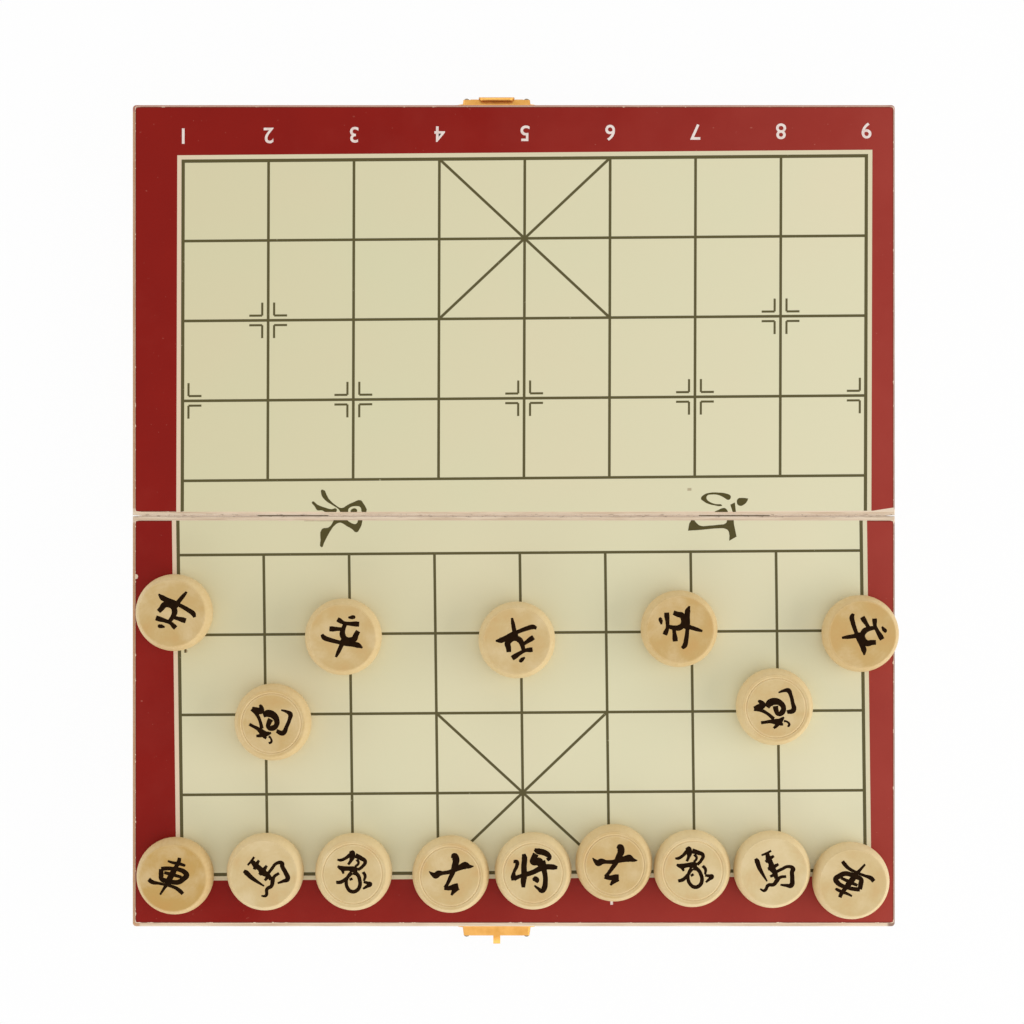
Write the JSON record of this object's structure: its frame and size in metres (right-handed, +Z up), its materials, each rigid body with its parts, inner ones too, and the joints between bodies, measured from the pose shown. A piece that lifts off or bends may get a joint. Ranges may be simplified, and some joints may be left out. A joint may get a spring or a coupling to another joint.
{
  "type": "folding travel chess set",
  "caption": "Folding wooden box board for Chinese chess, opened flat with a printed grid, with butt hinges, a hooked clasp and turned wooden playing discs.",
  "frame": {"origin": "middle of the seam between the two open trays, level with the undersides of the hinge barrels, which are the lowest points", "axes": "+Z up out of the printed faces, +Y from the near tray that carries the discs to the far tray with the clasp's tongue, +X to the right across the files"},
  "size_m": [0.2704, 0.3046, 0.0295],
  "materials": {
    "rail_wood": "sanded bare softwood",
    "plywood": "sanded thin plywood",
    "printed_sheet": "printed paper under a clear gloss film",
    "disc_wood": "turned pale wood, waxed",
    "clasp_metal": "thin gold lacquer",
    "hinge_metal": "brass plated",
    "steel": "dull plated"
  },
  "bodies": {
    "near_tray": {"near_outer_rail": "rail_wood", "near_seam_rail": "rail_wood", "near_left_rail": "rail_wood", "near_right_rail": "rail_wood", "near_top_panel": "plywood", "near_printed_sheet": "printed_sheet", "near_hinge_screws": "steel", "left_hinge_near_leaf": "hinge_metal", "right_hinge_near_leaf": "hinge_metal", "left_hinge_pin": "steel", "right_hinge_pin": "steel", "strike_plate": "clasp_metal", "strike_nails": "steel"},
    "far_tray": {"far_outer_rail": "rail_wood", "far_seam_rail": "rail_wood", "far_left_rail": "rail_wood", "far_right_rail": "rail_wood", "far_top_panel": "plywood", "far_printed_sheet": "printed_sheet", "far_hinge_screws": "steel", "left_hinge_far_leaf": "hinge_metal", "right_hinge_far_leaf": "hinge_metal", "hasp_plate": "clasp_metal", "hasp_pin": "steel", "hasp_nails": "steel"},
    "hasp_tongue": {"hasp_tongue": "clasp_metal"},
    "chariot_left": {"chariot_left": "disc_wood"},
    "horse_left": {"horse_left": "disc_wood"},
    "elephant_left": {"elephant_left": "disc_wood"},
    "advisor_left": {"advisor_left": "disc_wood"},
    "general": {"general": "disc_wood"},
    "advisor_right": {"advisor_right": "disc_wood"},
    "elephant_right": {"elephant_right": "disc_wood"},
    "horse_right": {"horse_right": "disc_wood"},
    "chariot_right": {"chariot_right": "disc_wood"},
    "cannon_left": {"cannon_left": "disc_wood"},
    "cannon_right": {"cannon_right": "disc_wood"},
    "soldier_1": {"soldier_1": "disc_wood"},
    "soldier_2": {"soldier_2": "disc_wood"},
    "soldier_3": {"soldier_3": "disc_wood"},
    "soldier_4": {"soldier_4": "disc_wood"},
    "soldier_5": {"soldier_5": "disc_wood"}
  },
  "joints": [
    {"name": "fold", "type": "hinge", "parent": "near_tray", "child": "far_tray", "pos_m": [0, 0, 0.0012], "axis": [-1, 0, 0], "range_deg": [0, 180]},
    {"name": "hasp_swing", "type": "hinge", "parent": "far_tray", "child": "hasp_tongue", "pos_m": [-0.0061, 0.14925, 0.00345], "axis": [-1, 0, 0], "range_deg": [0, 185]},
    {"name": "chariot_left_lift", "type": "slide", "parent": "near_tray", "child": "chariot_left", "axis": [0, 0, 1], "range_m": [0, 0.06]},
    {"name": "horse_left_lift", "type": "slide", "parent": "near_tray", "child": "horse_left", "axis": [0, 0, 1], "range_m": [0, 0.06]},
    {"name": "elephant_left_lift", "type": "slide", "parent": "near_tray", "child": "elephant_left", "axis": [0, 0, 1], "range_m": [0, 0.06]},
    {"name": "advisor_left_lift", "type": "slide", "parent": "near_tray", "child": "advisor_left", "axis": [0, 0, 1], "range_m": [0, 0.06]},
    {"name": "general_lift", "type": "slide", "parent": "near_tray", "child": "general", "axis": [0, 0, 1], "range_m": [0, 0.06]},
    {"name": "advisor_right_lift", "type": "slide", "parent": "near_tray", "child": "advisor_right", "axis": [0, 0, 1], "range_m": [0, 0.06]},
    {"name": "elephant_right_lift", "type": "slide", "parent": "near_tray", "child": "elephant_right", "axis": [0, 0, 1], "range_m": [0, 0.06]},
    {"name": "horse_right_lift", "type": "slide", "parent": "near_tray", "child": "horse_right", "axis": [0, 0, 1], "range_m": [0, 0.06]},
    {"name": "chariot_right_lift", "type": "slide", "parent": "near_tray", "child": "chariot_right", "axis": [0, 0, 1], "range_m": [0, 0.06]},
    {"name": "cannon_left_lift", "type": "slide", "parent": "near_tray", "child": "cannon_left", "axis": [0, 0, 1], "range_m": [0, 0.06]},
    {"name": "cannon_right_lift", "type": "slide", "parent": "near_tray", "child": "cannon_right", "axis": [0, 0, 1], "range_m": [0, 0.06]},
    {"name": "soldier_1_lift", "type": "slide", "parent": "near_tray", "child": "soldier_1", "axis": [0, 0, 1], "range_m": [0, 0.06]},
    {"name": "soldier_2_lift", "type": "slide", "parent": "near_tray", "child": "soldier_2", "axis": [0, 0, 1], "range_m": [0, 0.06]},
    {"name": "soldier_3_lift", "type": "slide", "parent": "near_tray", "child": "soldier_3", "axis": [0, 0, 1], "range_m": [0, 0.06]},
    {"name": "soldier_4_lift", "type": "slide", "parent": "near_tray", "child": "soldier_4", "axis": [0, 0, 1], "range_m": [0, 0.06]},
    {"name": "soldier_5_lift", "type": "slide", "parent": "near_tray", "child": "soldier_5", "axis": [0, 0, 1], "range_m": [0, 0.06]}
  ]
}
